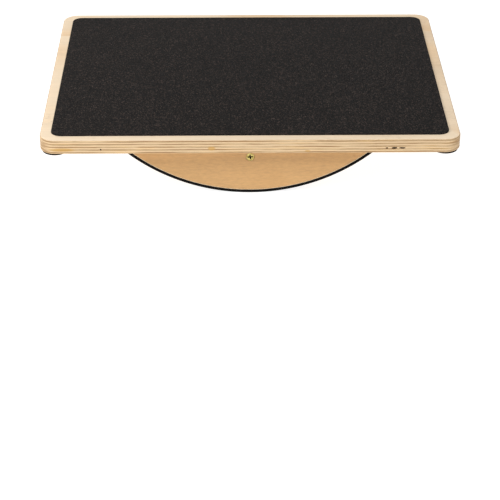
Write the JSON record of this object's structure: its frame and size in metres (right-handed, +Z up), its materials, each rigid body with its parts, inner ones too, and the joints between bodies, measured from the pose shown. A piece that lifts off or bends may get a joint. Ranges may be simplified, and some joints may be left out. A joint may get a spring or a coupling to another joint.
{
  "type": "rocker board",
  "caption": "Rectangular wooden balance board with a black grip sheet on top, rocking side to side on two curved plywood rockers with rubber treads, and rubber pads under its corners.",
  "frame": {"origin": "on the floor under the centre of the board, where it stands level on its rockers", "axes": "+X along the long side, which is the direction of rocking; +Y from the front long side to the rear one; +Z up, out of the standing surface"},
  "size_m": [0.445, 0.343, 0.0752],
  "materials": {
    "deck_wood": "light plywood, satin clear lacquer",
    "rocker_wood": "light plywood, satin clear lacquer",
    "grit": "black mineral grit on plastic film, matte",
    "rubber": "black moulded rubber, matte",
    "plated_steel": "yellow zinc plating"
  },
  "bodies": {
    "root": {"deck": "deck_wood", "grip_sheet": "grit", "front_rocker": "rocker_wood", "rear_rocker": "rocker_wood", "front_tread": "rubber", "rear_tread": "rubber", "cross_brace": "rocker_wood", "front_left_pad": "rubber", "front_right_pad": "rubber", "rear_left_pad": "rubber", "rear_right_pad": "rubber", "front_brace_screw": "plated_steel", "rear_brace_screw": "plated_steel", "front_left_deck_screw": "plated_steel", "front_middle_deck_screw": "plated_steel", "front_right_deck_screw": "plated_steel", "front_brace_deck_screw": "plated_steel", "rear_left_deck_screw": "plated_steel", "rear_middle_deck_screw": "plated_steel", "rear_right_deck_screw": "plated_steel", "rear_brace_deck_screw": "plated_steel"}
  },
  "joints": []
}
